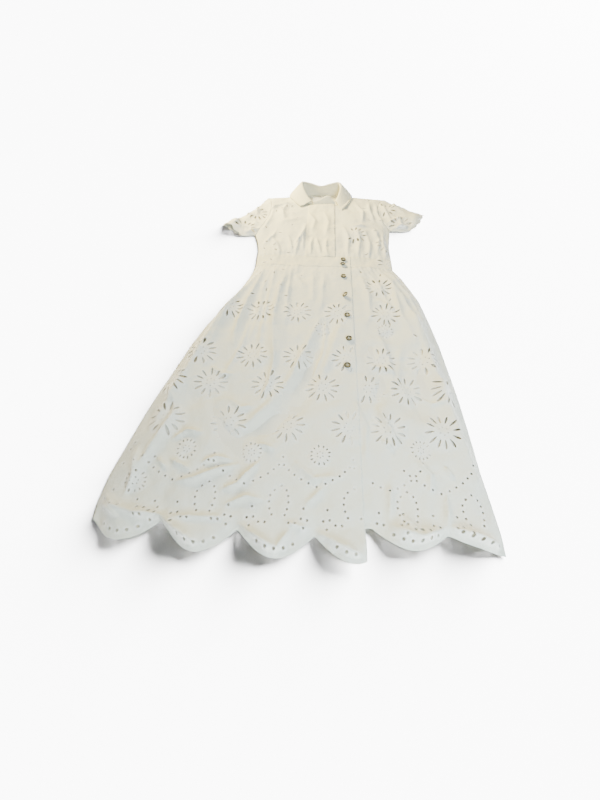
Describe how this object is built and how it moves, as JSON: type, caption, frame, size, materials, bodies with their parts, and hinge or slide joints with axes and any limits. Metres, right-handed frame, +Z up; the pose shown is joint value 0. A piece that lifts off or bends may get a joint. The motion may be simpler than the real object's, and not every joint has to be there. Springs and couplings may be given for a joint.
{
  "type": "shirt dress",
  "caption": "Cotton eyelet shirt dress laid flat: shirt collar, short flared sleeves, waistband, side-set button closing and a gathered skirt with a scalloped hem.",
  "frame": {"origin": "on the surface the dress lies on, under the middle of its bounding box", "axes": "+X across the dress to the wearer's left, +Y up the dress from hem to neck, +Z up from the surface out of the front of the dress"},
  "size_m": [0.7304, 1.1912, 0.0457],
  "materials": {
    "cloth": "matte woven cotton with white eyelet embroidery",
    "plain_cloth": "matte plain woven cotton",
    "label": "smooth satin tape, bare",
    "button": "satin horn-look resin"
  },
  "bodies": {
    "root": {"back_bodice": "cloth", "back_skirt": "cloth", "sleeve_right_back": "cloth", "sleeve_left_back": "cloth", "front_bodice_right": "cloth", "front_bodice_left": "cloth", "front_skirt_right": "cloth", "front_skirt_left": "cloth", "sleeve_right_front": "cloth", "sleeve_left_front": "cloth", "front_strip": "plain_cloth", "waistband_right": "plain_cloth", "waistband_left": "plain_cloth", "collar_stand": "plain_cloth", "collar_stand_front": "plain_cloth", "collar_fall": "plain_cloth", "label": "label", "button_1": "button", "button_2": "button", "button_3": "button", "button_4": "button", "button_5": "button", "button_6": "button", "button_7": "button"}
  },
  "joints": []
}
